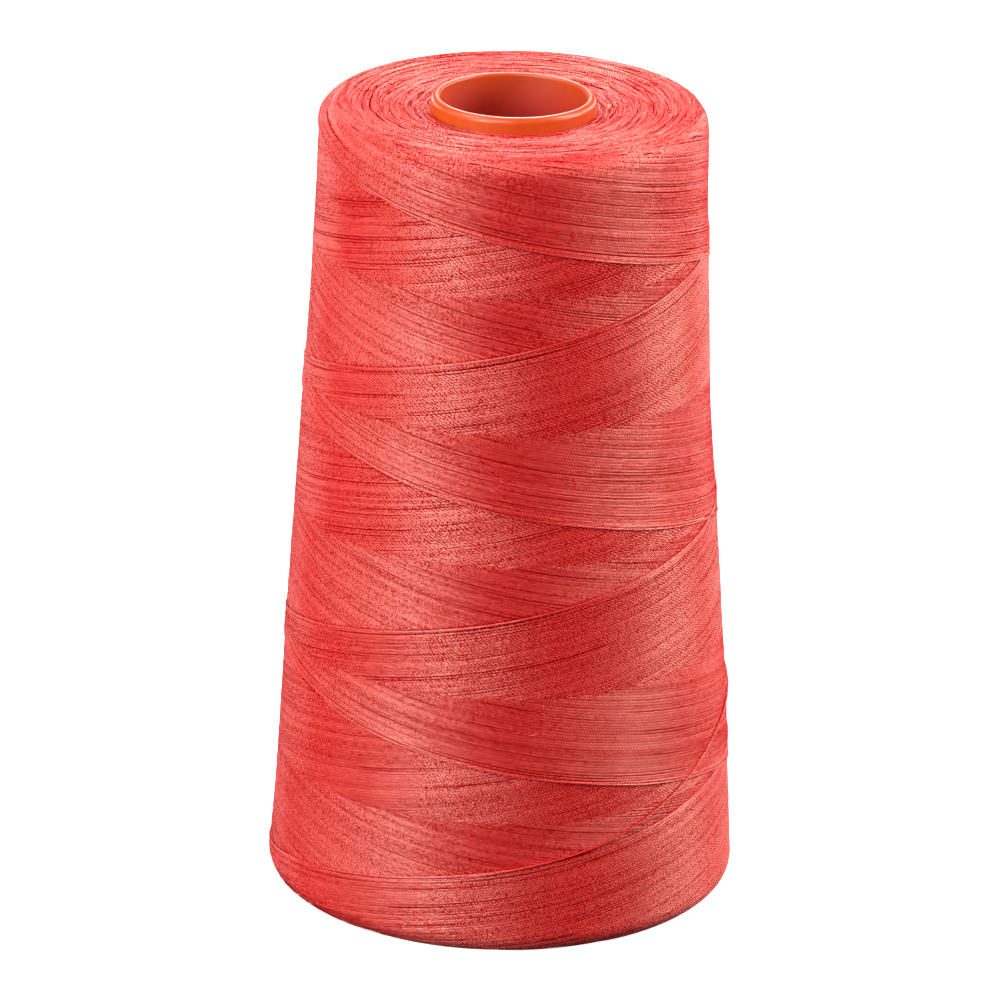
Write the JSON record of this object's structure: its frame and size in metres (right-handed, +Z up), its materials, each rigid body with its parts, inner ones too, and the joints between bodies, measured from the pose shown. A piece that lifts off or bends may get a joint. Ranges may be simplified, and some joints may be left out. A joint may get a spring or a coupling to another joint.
{
  "type": "cone of thread",
  "caption": "Sewing thread cross-wound on a tapered plastic core, standing on the core's open base rim.",
  "frame": {"origin": "on the cone's axis, in the plane of the core's base rim, which it stands on", "axes": "+Z up the cone's axis from its wide base to its nose; -Y towards the side seen in the picture, +X to that view's right"},
  "size_m": [0.0729, 0.0727, 0.1282],
  "materials": {
    "coral_thread": "fine spun thread in close crossed layers, coral red, matt with a soft sheen along the strands",
    "orange_plastic": "smooth moulded plastic, orange, glossy and slightly translucent"
  },
  "bodies": {
    "root": {"wound_thread": "coral_thread", "core": "orange_plastic"}
  },
  "joints": []
}
